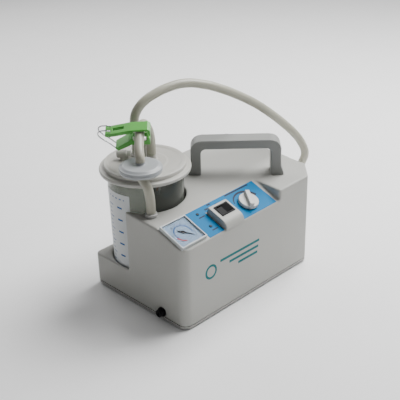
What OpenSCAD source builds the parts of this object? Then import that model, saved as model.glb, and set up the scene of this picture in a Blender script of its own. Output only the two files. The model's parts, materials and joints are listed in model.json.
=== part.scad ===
// Portable suction pump: a moulded case that holds the pump, a jar in a bay on its left,
// a lid with filter and hoses, and a patient hose that is put away in a coil.
// Millimetres. +X runs along the case to the right, the front faces -Y, +Z is up.
// The origin is on the resting surface, under the middle of the whole unit without its patient hose.
// The modules are drawn about the middle of the case, and placed() moves them over.

/* [Case] */
// Length of the case
body_w = 284; // [280:1:290]
// Depth of the case
body_d = 188; // [186:1:192]
// Wall of the moulded case
wall = 3; // [2.5:0.5:3]
// Height of the top face above the surface, over the origin
top_z = 147.4; // [146:0.2:149]
// Rise of the top towards the back
top_rise = 2; // [1.5:0.1:2.2]
// Rise of the top towards the right
side_rise = 0.86; // [0.7:0.02:1]
// Slope of the control panel
panel_slope = 19.5; // [18:0.5:20]
// Cut across the front right corner
corner_cut = 28; // [24:1:30]

/* [Jar bay] */
// Middle of the jar, left of the origin
jar_x = -85; // [-86:0.5:-84]
// Middle of the jar, behind the origin
jar_y = 37.5; // [36:0.5:38]
// Radius of the jar at its shoulder
jar_r = 54; // [53:0.5:54]
// Radius of the jar at its foot
jar_foot_r = 51.5; // [50:0.5:52]
// Height of the low shelf behind and beside the jar
shelf_z = 52.8; // [50:0.2:56]

/* [Handle] */
// Length of the carrying handle over its legs
handle_w = 132; // [130:1:134]
// Depth of the handle
handle_d = 26; // [24:1:28]
// Height of the handle's top
handle_z = 202.5; // [200:0.5:206]

/* [Hose] */
// Outer diameter of the hoses
hose_d = 13; // [12:0.5:13]
// Radius of the coil at the middle of its turns
coil_r = 75; // [70:1:76]

/* [Hidden] */
$fn = 64;

case_x = 9.25;
case_y = -3.1;
half_w = body_w / 2;
half_d = body_d / 2;
foot_h = 3;
split_z = 6;

panel_y = -43.2;
panel_x1 = 51;
panel_z = top_z + panel_y * tan(top_rise);

bay_r = 56;
bay_edge_y = 19;
well_r = 53.5;
well_z = 12;
jar_z0 = 12.3;
jar_z1 = 189;

gauge_u = -117;
gauge_v = -26.5;
gauge_w = 46;
gauge_h = 5;
boss_u = -43.5;
boss_h = 10;
rocker_v = -28.6;
knob_u = 6;
knob_v = -31.3;
lamp_u = -74.7;
lamp_v = [-10.6, -36.9];
port_x = -124;
port_y = -15;
port_top = 150;
fuse_y = -48;
fuse_z = 14;
inlet_x = 92;
inlet_z = 40;

handle_x = 51;
handle_y = -8;
leg_w = 15;
grip_t = 13.5;
leg_mid = (handle_w - leg_w) / 2;

screw_at = [[-132, -84], [112, -86], [-134, 86], [133, 85], [-10, -86], [40, 86]];
boss_r = 6;

pump_x = 60;
pump_y = 34;
pump_z = 56;
pump_half = 50;
plate_t = 5;
pump_side = 56;

flange_z = 186;
flange_r = 64.4;
lid_z = 198;
inlet_spout = [-80, 60];
outlet_spout = [-76, 33];
air_port = [-75, 48.5];
elbow_at = [-100, 64];
filter_x = -131.5;
filter_y = -7.4;
filter_z = 212;
filter_r = 29;
clamp_at = [-104, 22.5, 251.5];
clamp_tilt = 18;
float_z = 148;

floor_z = hose_d / 2 + 0.3;
coil_at = [195, 162];
coil_turns = 1.75;
coil_top = hose_d * (coil_turns + 1) + 0.3;

// The patient hose from the lid's inlet over the case and down to the coil
hose_route = [
    [-80, 60, 206.2], [-80, 60, 222], [-81, 60, 240], [-79.5, 60, 256], [-73, 58, 267.5],
    [-63, 55.5, 275.5], [-50, 52.5, 281], [-29, 48, 286], [-1, 41, 287], [29, 33, 279], [58, 26, 266],
    [88, 19, 249], [118, 12, 229], [144, 6, 208], [167, 0, 187], [186, -6, 167], [201, -10, 147],
    [211, -11, 126], [216, -2, 104], [220, 12, 83], [224, 30, 64], [229, 53, 50], [237, 75, 41],
    [246, 92, 36], [255, 108, 33]
];
// The short end that comes off the coil along the surface
tail_route = [[192, 80.5, floor_z], [200, 77, floor_z], [208, 73.3, floor_z]];
tail_turn = -25;
// The hose from the lid's outlet over to the top of the filter
bridge_route = [
    [-76, 33, 206.2], [-76, 33, 218], [-76, 34, 232], [-78, 35, 243], [-83, 35, 251.5],
    [-90, 32.5, 255.2], [-98, 28.5, 254.3], [-104, 22.5, 251.5], [-110, 16.5, 248.7],
    [-118, 8.5, 244.4], [-125, 1.5, 239.4], [-129.8, -4.6, 234], [-131.5, -7.4, 230],
    [-131.5, -7.4, 226.3]
];
// The hose from the underside of the filter down to the port on the case
filter_route = [
    [-131.5, -7.4, 206.7], [-131.5, -7.4, 204.5], [-131.6, -10, 200.5], [-131.3, -14.9, 196],
    [-130.8, -18.2, 191], [-130.2, -19.4, 186], [-128.8, -19.4, 178], [-127, -18.2, 170],
    [-125.2, -16.4, 162], [-124, -15.2, 156], [-124, -15, 153.5], [-124, -15, 150.4]
];
// Rubber tubes inside the case: to the port, to the gauge and to the regulator
port_tube = [
    [-12, 34, 64], [-17, 34, 65], [-20, 33, 74], [-20, 31, 90], [-20, 26, 106], [-24, 12, 118],
    [-34, -10, 124], [-52, -26, 126], [-80, -31, 126], [-108, -27, 124], [-120, -19, 121],
    [-123.6, -15.6, 123], [-124, -15, 126.3]
];
gauge_tube = [
    [-34, -10, 124], [-46, -28, 114], [-70, -42, 104], [-98, -52, 100], [-112, -56.6, 103.4],
    [-116.4, -58.2, 108.7]
];
regulator_tube = [
    [-34, -10, 124], [-34, -24, 120], [-30, -42, 117], [-25, -56, 116.4], [-17, -65, 116.5],
    [-10.8, -66, 116.5]
];

function unit(v) = v / norm(v);
function heading(path, i) = unit(path[min(i + 1, len(path) - 1)] - path[max(i - 1, 0)]);
function across(v, t) = unit(v - t * (v * t));
function carried(path, i, side) =
    let (kept = across(side, heading(path, i)))
    i == len(path) - 1 ? [kept] : concat([kept], carried(path, i + 1, kept));

// A round tube swept along a list of points
module swept_tube(path, radius, sides = 10, side = [0.3, 1, 0.1]) {
    kept = carried(path, 0, side);
    count = len(path);
    rim = [for (i = [0 : count - 1]) for (k = [0 : sides - 1])
        let (t = heading(path, i), n = kept[i], b = cross(t, n), a = 360 * k / sides)
        path[i] + radius * (n * cos(a) + b * sin(a))];
    skin = [for (i = [0 : count - 2]) for (k = [0 : sides - 1])
        let (j = (k + 1) % sides) each [
            [i * sides + k, (i + 1) * sides + k, (i + 1) * sides + j],
            [i * sides + k, (i + 1) * sides + j, i * sides + j]]];
    first = [for (k = [0 : sides - 1]) k];
    last = [for (k = [sides - 1 : -1 : 0]) (count - 1) * sides + k];
    polyhedron(points = rim, faces = concat(skin, [first, last]));
}

// Moves what is drawn about the middle of the case to its place about the origin
module placed() {
    translate([case_x, case_y, 0]) children();
}

// Places its children on the sloping panel; local y runs up the slope
module on_panel(u = 0, v = 0) {
    translate([0, panel_y, panel_z]) rotate([panel_slope, -side_rise, 0]) translate([u, v, 0]) children();
}

// The case's outline, drawn in by inset
module outline(inset = 0) {
    w = half_w - inset;
    d = half_d - inset;
    front_r = 14 - inset;
    left_r = 8 - inset;
    right_r = 12 - inset;
    cut = corner_cut - inset * (2 - sqrt(2));
    difference() {
        union() {
            translate([-w + front_r, -d]) square([2 * w - front_r - right_r, 2 * d]);
            translate([-w, -d + front_r]) square([front_r, 2 * d - front_r - left_r]);
            translate([-w + left_r, d - left_r - 1]) square([front_r, left_r + 1]);
            translate([w - right_r, -d]) square([right_r, 2 * d - right_r]);
            translate([-w + front_r, -d + front_r]) circle(front_r);
            translate([-w + left_r, d - left_r]) circle(left_r);
            translate([w - right_r, d - right_r]) circle(right_r);
        }
        translate([w - cut, -d]) rotate(45) translate([0, -60]) square([60, 60]);
    }
}

// Everything of the case above the tray, drawn in by inset: the shell is one less the other
module case_block(inset = 0) {
    difference() {
        translate([0, 0, split_z - min(inset, 1)]) linear_extrude(160) outline(inset);
        translate([0, 0, top_z - inset]) rotate([top_rise, -side_rise, 0])
            translate([-200, -200, 0]) cube([400, 400, 60]);
        translate([0, panel_y, panel_z - inset]) rotate([panel_slope, -side_rise, 0])
            translate([-200, -100, 0]) cube([200 + panel_x1 + inset, 300, 90]);
        translate([jar_x, jar_y, shelf_z - inset]) cylinder(r = bay_r + inset, h = 150);
        translate([-200, bay_edge_y - inset, shelf_z - inset]) cube([200 + jar_x, 200, 150]);
        translate([jar_x - 1, jar_y, shelf_z - inset]) cube([bay_r + inset + 1, 200, 150]);
        translate([jar_x, jar_y, well_z - inset]) cylinder(r = well_r + inset, h = 150);
    }
}

module upper_housing() {
    placed() color("gainsboro") difference() {
        union() {
            difference() {
                case_block(0);
                case_block(wall);
            }
            for (p = screw_at) translate([p[0], p[1], split_z]) cylinder(r = boss_r, h = 26);
        }
        for (p = screw_at) translate([p[0], p[1], split_z - 1]) cylinder(r = 1.6, h = 21);
        on_panel(boss_u + 1, rocker_v) translate([-12, -9, -8]) cube([24, 18, 20]);
        on_panel(gauge_u, gauge_v) translate([0, 0, -10]) cylinder(r = 7, h = 12);
        on_panel(knob_u, knob_v) translate([0, 0, -10]) cylinder(r = 4.6, h = 12);
        for (v = lamp_v) on_panel(lamp_u, v) translate([0, 0, -10]) cylinder(r = 2.1, h = 12);
        translate([port_x, port_y, 130]) cylinder(r = 4.6, h = 30);
        translate([-half_w - 1, fuse_y, fuse_z]) rotate([0, 90, 0]) cylinder(r = 6.1, h = 10);
        translate([inlet_x - 13.6, half_d - 10, inlet_z - 9.6]) cube([27.2, 20, 19.2]);
        for (s = [-1, 1]) handle_place() translate([s * leg_mid, 0, 130]) cylinder(r = 2.2, h = 30);
    }
}

module base_tray() {
    placed() color("lightgray") difference() {
        translate([0, 0, foot_h]) linear_extrude(split_z - foot_h) outline(0.4);
        for (p = screw_at) {
            translate([p[0], p[1], 0]) cylinder(r = 2.1, h = 20);
            translate([p[0], p[1], 0]) cylinder(r = 3.8, h = foot_h + 1.8);
        }
        for (x = [-118, 118]) for (y = [-72, 72]) translate([x, y, 0]) cylinder(r = 3, h = 20);
        for (x = [-30 : 12 : 78]) translate([x, -60, 0]) cube([5, 40, 20]);
    }
}

module rubber_feet() {
    placed() color("dimgray") for (x = [-118, 118]) for (y = [-72, 72]) {
        translate([x, y, 0]) cylinder(r1 = 8, r2 = 9, h = foot_h);
        translate([x, y, foot_h]) cylinder(r = 3, h = split_z - foot_h);
        translate([x, y, split_z]) cylinder(r1 = 4.4, r2 = 2.6, h = 2.5);
    }
}

module housing_screws() {
    placed() color("silver") for (p = screw_at) translate([p[0], p[1], 0]) difference() {
        union() {
            translate([0, 0, foot_h + 0.2]) cylinder(r = 3.6, h = 1.6);
            translate([0, 0, foot_h + 1.8]) cylinder(r = 1.6, h = 20);
        }
        translate([-2.4, -0.4, foot_h - 1]) cube([4.8, 0.8, 2]);
        translate([-0.4, -2.4, foot_h - 1]) cube([0.8, 4.8, 2]);
    }
}

// Places its children in the handle's own line, which runs across the case's corner
module handle_place() {
    translate([handle_x, handle_y, 0]) rotate(-45) children();
}

module handle_outline() {
    outer_r = 16;
    inner_r = 7.5;
    foot_w = handle_w / 2 + 4;
    difference() {
        union() {
            translate([-handle_w / 2, 100]) square([handle_w, handle_z - outer_r - 100]);
            translate([-handle_w / 2 + outer_r, 100]) square([handle_w - 2 * outer_r, handle_z - 100]);
            for (s = [-1, 1]) translate([s * (handle_w / 2 - outer_r), handle_z - outer_r]) circle(outer_r);
            polygon([[-foot_w, 100], [foot_w, 100], [foot_w, 150], [handle_w / 2, 161],
                [-handle_w / 2, 161], [-foot_w, 150]]);
        }
        inner_w = handle_w / 2 - leg_w;
        inner_z = handle_z - grip_t;
        translate([-inner_w, 90]) square([2 * inner_w, inner_z - inner_r - 90]);
        translate([-inner_w + inner_r, 90]) square([2 * inner_w - 2 * inner_r, inner_z - 90]);
        for (s = [-1, 1]) translate([s * (inner_w - inner_r), inner_z - inner_r]) circle(inner_r);
    }
}

module carry_handle() {
    placed() color("darkgray") difference() {
        handle_place() rotate([90, 0, 0]) translate([0, 0, -handle_d / 2])
            linear_extrude(handle_d) handle_outline();
        translate([0, 0, top_z]) rotate([top_rise, -side_rise, 0]) translate([-200, -200, -80])
            cube([400, 400, 80]);
        for (s = [-1, 1]) handle_place() translate([s * leg_mid, 0, 120]) cylinder(r = 1.6, h = 50);
    }
}

module handle_screws() {
    placed() color("silver") for (s = [-1, 1]) handle_place() translate([s * leg_mid, 0, 0]) {
        translate([0, 0, 138]) cylinder(r = 1.6, h = 28);
        translate([0, 0, 139.5]) cylinder(r = 4.2, h = 4.3);
    }
}

module control_label() {
    placed() color("steelblue") difference() {
        on_panel() translate([-90.5, -52.3, 0]) cube([135, 50.8, 0.5]);
        on_panel(boss_u, -60) translate([-19.2, 0, -1]) cube([38.4, 46.2, 3]);
        on_panel(knob_u, knob_v) translate([0, 0, -1]) cylinder(r = 5.2, h = 3);
        for (v = lamp_v) on_panel(lamp_u, v) translate([0, 0, -1]) cylinder(r = 2.1, h = 3);
    }
}

module gauge_case() {
    placed() color("whitesmoke") on_panel(gauge_u, gauge_v) difference() {
        translate([-gauge_w / 2, -gauge_w / 2, 0]) cube([gauge_w, gauge_w, gauge_h]);
        translate([-gauge_w / 2 + 2, -gauge_w / 2 + 2, 1.6]) cube([gauge_w - 4, gauge_w - 4, gauge_h]);
        translate([0, 0, -1]) cylinder(r = 3, h = 5);
    }
}

module gauge_dial() {
    placed() color("lightsteelblue") on_panel(gauge_u, gauge_v) difference() {
        translate([-20.8, -20.8, 1.6]) cube([41.6, 41.6, 0.6]);
        translate([0, 0, 1]) cylinder(r = 1.4, h = 3);
    }
}

module gauge_lens() {
    placed() color([0.9, 0.95, 1, 0.4]) on_panel(gauge_u, gauge_v) translate([-20.9, -20.9, gauge_h - 1])
        cube([41.8, 41.8, 1]);
}

module gauge_stem() {
    placed() color("goldenrod") on_panel(gauge_u, gauge_v) {
        translate([0, 0, -22]) cylinder(r = 3, h = 23.6);
        translate([0, 0, -16]) cylinder(r = 9, h = 13, $fn = 6);
        translate([0, 0, -28]) cylinder(r1 = 2.2, r2 = 3.4, h = 6);
    }
}

module gauge_needle() {
    placed() color("black") on_panel(gauge_u, gauge_v) rotate(-45) {
        translate([0, 0, 2.4]) cylinder(r = 2.6, h = 1.2);
        translate([0, 0, 1.8]) cylinder(r = 1.3, h = 1.8);
        translate([0, 0, 2.6]) linear_extrude(0.7) polygon([[-8, -1.4], [-8, 1.4], [14, 0.5], [14, -0.5]]);
    }
}

// The raised box round the switch, whose front rolls down over the edge of the case
module switch_boss() {
    roll_r = 13;
    placed() color("whitesmoke") difference() {
        on_panel(boss_u) rotate([90, 0, 90]) translate([0, 0, -17.5]) linear_extrude(35) {
            translate([-43, 0]) square([28.5, boss_h]);
            intersection() {
                translate([-43, boss_h - roll_r]) circle(roll_r);
                translate([-60, 0]) square([20, 30]);
            }
        }
        on_panel(boss_u + 1, rocker_v) translate([-11.6, -8.6, -3]) cube([23.2, 17.2, 20]);
    }
}

module switch_body() {
    placed() color("black") on_panel(boss_u + 1, rocker_v) difference() {
        union() {
            translate([-12.6, -9.6, boss_h]) cube([25.2, 19.2, 1.2]);
            translate([-11.4, -8.4, -9]) cube([22.8, 16.8, boss_h + 9]);
        }
        translate([-10, -7, -6]) cube([20, 14, 30]);
        translate([0, 10, boss_h - 3]) rotate([90, 0, 0]) cylinder(r = 1.1, h = 20);
    }
    placed() color("silver") on_panel(boss_u + 1, rocker_v) for (x = [-7, 0, 7])
        translate([x - 0.4, -3, -17]) cube([0.8, 6, 8]);
}

module power_rocker() {
    placed() color("black") on_panel(boss_u + 1, rocker_v) translate([0, 0, boss_h - 3])
        rotate([0, -10, 0]) {
        rotate([90, 0, 0]) cylinder(r = 1.05, h = 16.4, center = true);
        rotate([90, 0, 0]) linear_extrude(13.2, center = true)
            polygon([[-9, 4.4], [-9.3, 1], [-4, -2.2], [4, -2.2], [9.3, 1], [9, 4.4], [0, 2.8]]);
    }
}

module indicator_lamps() {
    placed() color("darkslategray") for (v = lamp_v) on_panel(lamp_u, v) {
        translate([0, 0, -8]) cylinder(r = 2, h = 9.4);
        translate([0, 0, 0.6]) cylinder(r = 2.4, h = 0.8);
    }
}

module regulator_body() {
    placed() color("goldenrod") on_panel(knob_u, knob_v) difference() {
        union() {
            translate([0, 0, -4]) cylinder(r = 4.5, h = 8);
            translate([-9, -9, -28]) cube([18, 18, 24.9]);
            translate([-9, 0, -20]) rotate([0, -90, 0]) cylinder(r = 2.8, h = 8);
        }
        translate([0, 0, -24]) cylinder(r = 2.6, h = 40);
        translate([-20, 0, -20]) rotate([0, 90, 0]) cylinder(r = 1.2, h = 20);
    }
}

module regulator_nut() {
    placed() color("silver") on_panel(knob_u, knob_v) difference() {
        translate([0, 0, 0.55]) cylinder(r = 7.6, h = 2.4, $fn = 6);
        cylinder(r = 4.5, h = 4);
    }
}

module regulator_knob() {
    placed() color("white") on_panel(knob_u, knob_v) {
        difference() {
            union() {
                translate([0, 0, 1.4]) cylinder(r1 = 15, r2 = 14.5, h = 4.8);
                rotate(60.6) translate([-14.2, -3.4, 5]) cube([28.4, 6.8, 6.8]);
            }
            cylinder(r = 8.6, h = 4.4);
        }
        translate([0, 0, -14]) cylinder(r = 2.5, h = 19);
    }
}

module regulator_needle() {
    placed() color("silver") on_panel(knob_u, knob_v) {
        translate([0, 0, -19]) cylinder(r = 2.5, h = 4.7);
        translate([0, 0, -23]) cylinder(r1 = 0.5, r2 = 2.2, h = 4);
    }
}

module vacuum_port() {
    placed() color("whitesmoke") translate([port_x, port_y, 0]) difference() {
        union() {
            translate([0, 0, 145.5]) cylinder(r = 8.6, h = port_top - 145.5);
            translate([0, 0, 126.5]) cylinder(r = 4.5, h = 20);
        }
        translate([0, 0, 120]) cylinder(r = 2.5, h = 40);
    }
}

module fuse_holder() {
    placed() color("black") translate([-half_w, fuse_y, fuse_z]) rotate([0, 90, 0]) difference() {
        union() {
            translate([0, 0, -1.6]) cylinder(r = 7, h = 1.6);
            cylinder(r = 6, h = 34);
            translate([0, 0, wall]) cylinder(r = 7.8, h = 3);
        }
        translate([0, 0, -3]) cylinder(r = 5, h = 35);
    }
}

module fuse_link() {
    placed() color("silver") translate([-half_w, fuse_y, fuse_z]) rotate([0, 90, 0])
        translate([0, 0, 10]) cylinder(r = 2.5, h = 20);
}

module fuse_cap() {
    placed() color("black") translate([-half_w, fuse_y, fuse_z]) rotate([0, 90, 0]) difference() {
        union() {
            translate([0, 0, -7.6]) cylinder(r1 = 5.4, r2 = 6.2, h = 5.6);
            translate([0, 0, -2.4]) cylinder(r = 4.92, h = 12);
        }
        translate([-4.4, -0.6, -8]) cube([8.8, 1.2, 1.8]);
    }
}

module power_inlet() {
    placed() color("black") translate([inlet_x, half_d, inlet_z]) difference() {
        union() {
            translate([-24, 0, -11]) cube([48, 2.4, 22]);
            translate([-13.4, -24, -9.4]) cube([26.8, 24, 18.8]);
        }
        translate([-12, -18, -8]) cube([24, 30, 16]);
        for (s = [-1, 1]) translate([s * 20, 5, 0]) rotate([90, 0, 0]) cylinder(r = 1.7, h = 10);
    }
    placed() color("silver") translate([inlet_x, half_d, inlet_z]) for (p = [[-7, -2], [0, 2], [7, -2]])
        translate([p[0] - 1, -30, p[1] - 2]) cube([2, 26, 4]);
}

// Places its children at the middle of the pump, whose rod runs along X
module at_pump() {
    translate([pump_x, pump_y, pump_z]) children();
}

module pump_frame() {
    placed() color("silver") at_pump() difference() {
        union() {
            for (s = [-1, 1]) translate([s * (pump_half - plate_t / 2), 0, 0])
                cube([plate_t, pump_side, pump_side], center = true);
            translate([0, 0, -pump_side / 2 - 1.5]) cube([2 * pump_half, pump_side, 3], center = true);
        }
        for (s = [-1, 1]) translate([s * pump_half, 0, 0]) rotate([0, 90, 0])
            cylinder(r = 18, h = 20, center = true);
        for (s = [-1, 1]) for (y = [-23, 23]) for (z = [-23, 23])
            translate([s * pump_half, y, z]) rotate([0, 90, 0]) cylinder(r = 1.6, h = 20, center = true);
    }
}

module magnet_cores() {
    placed() color("dimgray") at_pump() for (s = [-1, 1]) difference() {
        translate([-26, -20, s > 0 ? 8 : -28]) cube([52, 40, 20]);
        for (x = [-18, 8]) translate([x, -21, s > 0 ? 7 : -22]) cube([10, 42, 15]);
    }
}

module coil_bobbins() {
    placed() color("peru") at_pump() for (s = [-1, 1]) difference() {
        translate([-17, -26, s > 0 ? 9 : -21]) cube([34, 52, 12]);
        translate([-8.2, -20.2, s > 0 ? 8 : -22]) cube([16.4, 40.4, 14]);
    }
}

module armature() {
    placed() color("silver") at_pump() {
        rotate([0, 90, 0]) cylinder(r = 3, h = 106, center = true);
        cube([44, 30, 9], center = true);
        for (s = [-1, 1]) {
            translate([s * 48.4, 0, 0]) rotate([0, 90, 0]) cylinder(r = 11, h = 1.6, center = true);
            translate([s * 52.2, 0, 0]) rotate([0, 90, 0]) cylinder(r = 11, h = 1.6, center = true);
        }
    }
}

module diaphragms() {
    placed() color("black") at_pump() for (s = [-1, 1]) translate([s * (pump_half + 0.5), 0, 0])
        rotate([0, 90, 0]) difference() {
            cylinder(r = 24, h = 1, center = true);
            cylinder(r = 3.1, h = 4, center = true);
        }
}

module pump_heads() {
    placed() color("gray") at_pump() for (s = [-1, 1])
        rotate([0, 90 * s, 0]) translate([0, 0, pump_half + 1]) difference() {
            union() {
                translate([-28, -28, 0]) cube([56, 56, 12]);
                for (x = [-8, 8]) translate([x, 0, 12]) cylinder(r = 3, h = 9);
            }
            translate([0, 0, -1]) cylinder(r = 18, h = 7);
            for (x = [-8, 8]) translate([x, 0, -1]) cylinder(r = 1.5, h = 30);
            for (x = [-23, 23]) for (y = [-23, 23]) translate([x, y, -1]) cylinder(r = 1.7, h = 20);
        }
}

module valve_flaps() {
    placed() color("black") at_pump() for (s = [-1, 1]) for (x = [-8, 8])
        rotate([0, 90 * s, 0]) translate([x, 0, pump_half + 6.2]) cylinder(r = 4, h = 0.8);
}

module head_screws() {
    placed() color("silver") at_pump() for (s = [-1, 1]) for (y = [-23, 23]) for (z = [-23, 23])
        translate([s * pump_half, y, z]) rotate([0, 90 * s, 0]) {
            translate([0, 0, -5]) cylinder(r = 1.6, h = 18);
            translate([0, 0, 13]) cylinder(r = 3, h = 2.6);
        }
}

module pump_mounts() {
    placed() color("dimgray") at_pump() for (x = [-40, 40]) for (y = [-20, 20]) translate([x, y, 0])
        translate([0, 0, split_z - pump_z])
            cylinder(r = 7, h = pump_z - pump_side / 2 - 3 - split_z);
}

module silencer() {
    placed() color("darkslategray") translate([pump_x - 18, -34, 30]) rotate([0, 90, 0]) {
        cylinder(r = 13, h = 54);
        translate([0, 0, -8]) cylinder(r = 3, h = 62);
    }
    placed() color("darkslategray") for (x = [-8, 24]) translate([pump_x + x, -40, 6]) cube([4, 12, 13]);
}

module vacuum_tubes() {
    placed() color("gray") {
        swept_tube(port_tube, 3.4, 8);
        swept_tube(gauge_tube, 2.4, 8);
        swept_tube(regulator_tube, 2.8, 8);
    }
}

module terminal_board() {
    placed() color("seagreen") translate([90, -76, split_z + 8]) difference() {
        cube([34, 60, 1.6]);
        for (x = [4, 30]) for (y = [22, 56]) translate([x, y, -1]) cylinder(r = 1.6, h = 4);
    }
    placed() color("silver") translate([90, -76, split_z])
        for (x = [4, 30]) for (y = [22, 56]) translate([x, y, 0]) cylinder(r = 3, h = 8);
    placed() color("black") translate([90, -76, split_z + 9.6]) {
        translate([8, 34, 0]) cube([18, 14, 14]);
        translate([12, 26, 0]) cylinder(r = 4.5, h = 16);
        translate([22, 26, 0]) cylinder(r = 4.5, h = 16);
    }
}

module suction_jar() {
    jar_wall = 2.4;
    floor_t = 3;
    placed() color([0.92, 0.95, 0.97, 0.35]) translate([jar_x, jar_y, jar_z0]) difference() {
        union() {
            cylinder(r1 = jar_foot_r, r2 = jar_r, h = jar_z1 - jar_z0 - 6);
            translate([0, 0, jar_z1 - jar_z0 - 6]) cylinder(r = jar_r, h = 6);
        }
        translate([0, 0, floor_t])
            cylinder(r1 = jar_foot_r - jar_wall, r2 = jar_r - jar_wall, h = jar_z1 - jar_z0 - 6 - floor_t);
        translate([0, 0, jar_z1 - jar_z0 - 6.1]) cylinder(r = jar_r - jar_wall, h = 10);
    }
}

// The printed scale on the jar's outside, on the side that faces front left
module jar_scale() {
    z0 = 24;
    z1 = 168;
    rise = (jar_r - jar_foot_r) / (jar_z1 - jar_z0 - 6);
    r0 = jar_foot_r + (z0 - jar_z0) * rise;
    r1 = jar_foot_r + (z1 - jar_z0) * rise;
    placed() color("aliceblue") translate([jar_x, jar_y, 0]) intersection() {
        translate([0, 0, z0]) difference() {
            cylinder(r1 = r0 + 0.3, r2 = r1 + 0.3, h = z1 - z0);
            translate([0, 0, -0.01]) cylinder(r1 = r0, r2 = r1, h = z1 - z0 + 0.02);
        }
        rotate(-188) translate([0, -28, 0]) cube([60, 56, 200]);
    }
}

module jar_lid() {
    skirt_t = 2.2;
    placed() color("ivory") translate([jar_x, jar_y, 0]) difference() {
        union() {
            translate([0, 0, flange_z]) cylinder(r = flange_r, h = 5.5);
            translate([0, 0, flange_z + 5.5]) cylinder(r = 61, h = 1.5);
            translate([0, 0, flange_z + 7]) cylinder(r = 58, h = lid_z - flange_z - 7);
            translate([inlet_spout[0] - jar_x, inlet_spout[1] - jar_y, lid_z]) cylinder(r = 6.5, h = 8);
            translate([outlet_spout[0] - jar_x, outlet_spout[1] - jar_y, lid_z]) cylinder(r = 6.5, h = 8);
        }
        translate([0, 0, flange_z - 1]) cylinder(r = jar_r + 0.3, h = 6.3);
        translate([0, 0, flange_z - 1]) cylinder(r = jar_r - 2.7, h = lid_z - flange_z + 1 - skirt_t);
        for (p = [inlet_spout, outlet_spout])
            translate([p[0] - jar_x, p[1] - jar_y, lid_z - 10]) cylinder(r = 3, h = 30);
    }
    placed() color("ivory") translate([elbow_at[0], elbow_at[1], lid_z]) {
        cylinder(r = 6, h = 4);
        translate([0, 0, 7]) rotate([0, -90, -45]) cylinder(r = 5.6, h = 21, center = true);
    }
    placed() color("ivory") translate([air_port[0], air_port[1], lid_z]) {
        cylinder(r = 4.2, h = 24);
        translate([0, 0, 24]) cylinder(r1 = 4.2, r2 = 3, h = 2);
    }
}

module lid_gasket() {
    placed() color("black") translate([jar_x, jar_y, jar_z1 + 0.2]) difference() {
        cylinder(r = jar_r + 0.2, h = 2.1);
        translate([0, 0, -1]) cylinder(r = jar_r - 2.6, h = 4);
    }
}

module float_cage() {
    placed() color("white") translate([outlet_spout[0], outlet_spout[1], 0]) difference() {
        union() {
            translate([0, 0, 182]) cylinder(r = 10, h = lid_z - 2.2 - 182);
            translate([0, 0, float_z - 2]) difference() {
                cylinder(r = 10, h = 182 - float_z + 2);
                translate([0, 0, 2]) cylinder(r = 8.4, h = 182 - float_z);
                for (a = [0, 90]) rotate(a) translate([-12, -3.4, 6]) cube([24, 6.8, 22]);
            }
        }
        translate([0, 0, 170]) cylinder(r = 3, h = 40);
        translate([0, 0, float_z - 3]) cylinder(r = 3, h = 10);
    }
}

module float_ball() {
    placed() color("orangered") translate([outlet_spout[0], outlet_spout[1], float_z + 0.2]) {
        cylinder(r = 7.6, h = 11);
        translate([0, 0, 11]) cylinder(r1 = 7.6, r2 = 2, h = 5);
    }
}

module filter_base() {
    placed() color("white") translate([filter_x, filter_y, filter_z]) difference() {
        union() {
            cylinder(r = filter_r, h = 5);
            translate([0, 0, -5]) cylinder(r = 6.5, h = 6);
        }
        translate([0, 0, 2]) cylinder(r = filter_r - 4, h = 6);
        translate([0, 0, -6]) cylinder(r = 2.5, h = 10);
    }
}

module filter_membrane() {
    placed() color("white") translate([filter_x, filter_y, filter_z + 4.2])
        cylinder(r = filter_r - 4.4, h = 0.8);
}

module filter_cover() {
    placed() color("whitesmoke") translate([filter_x, filter_y, filter_z + 5]) difference() {
        union() {
            cylinder(r = filter_r, h = 3);
            translate([0, 0, 3]) cylinder(r1 = filter_r - 1.5, r2 = filter_r - 6, h = 3);
            translate([0, 0, 6]) cylinder(r = 6.5, h = 3);
        }
        translate([0, 0, -1]) cylinder(r = filter_r - 5, h = 3);
        translate([0, 0, 1.9]) cylinder(r1 = filter_r - 5, r2 = filter_r - 9, h = 2);
        translate([0, 0, 3]) cylinder(r = 2.5, h = 20);
    }
}

module bridge_hose() {
    placed() color("tan") swept_tube(bridge_route, hose_d / 2, 12);
}

module filter_hose() {
    placed() color("tan") swept_tube(filter_route, hose_d / 2, 12, [1, 0.2, 0]);
}

// Places its children at the pinch clamp's pivot; local x points along the jaws
module at_clamp() {
    translate(clamp_at) rotate(-45) rotate([clamp_tilt, 0, 0]) children();
}

module clamp_base() {
    placed() color("limegreen") at_clamp() {
        translate([0, 0, -6]) rotate([90, 0, 0]) linear_extrude(18, center = true)
            polygon([[-34, -16], [-30, -20], [-12, -10], [-9.4, -8], [-9.4, 0], [-12, 0], [-16, -4]]);
        for (y = [-9, 7]) translate([-12, y, -15.6]) cube([24, 2, 6.6]);
        translate([9.4, -9, -15.6]) cube([4, 18, 11]);
    }
}

clamp_wire = [
    [-38, 5.6], [-47, 7], [-54, 5], [-55.6, 0], [-52, -6], [-42, -15], [-34, -23.4]
];

module clamp_spring() {
    placed() color("silver") at_clamp() for (y = [-5, 5])
        swept_tube([for (p = clamp_wire) [p[0], y, p[1]]], 0.9, 8, [0, 1, 0]);
}

module clamp_lever() {
    placed() color("limegreen") at_clamp() difference() {
        union() {
            rotate([90, 0, 0]) linear_extrude(18, center = true)
                polygon([[-46, -1], [-46, 2.6], [-43, 3], [-12, 9.5], [11, 10.8], [14.4, 8.4],
                    [14.4, 0.6], [13, -2], [11.4, 7.6], [-9.6, 7.4], [-14, 3.4], [-40, -1.6]]);
            translate([-11, 0, 5]) rotate([90, 0, 0]) cylinder(r = 2.6, h = 17, center = true);
        }
        translate([-36, -2.5, -10]) cube([15, 5, 30]);
    }
}

module patient_hose() {
    placed() color("tan") swept_tube(hose_route, hose_d / 2, 10);
}

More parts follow.
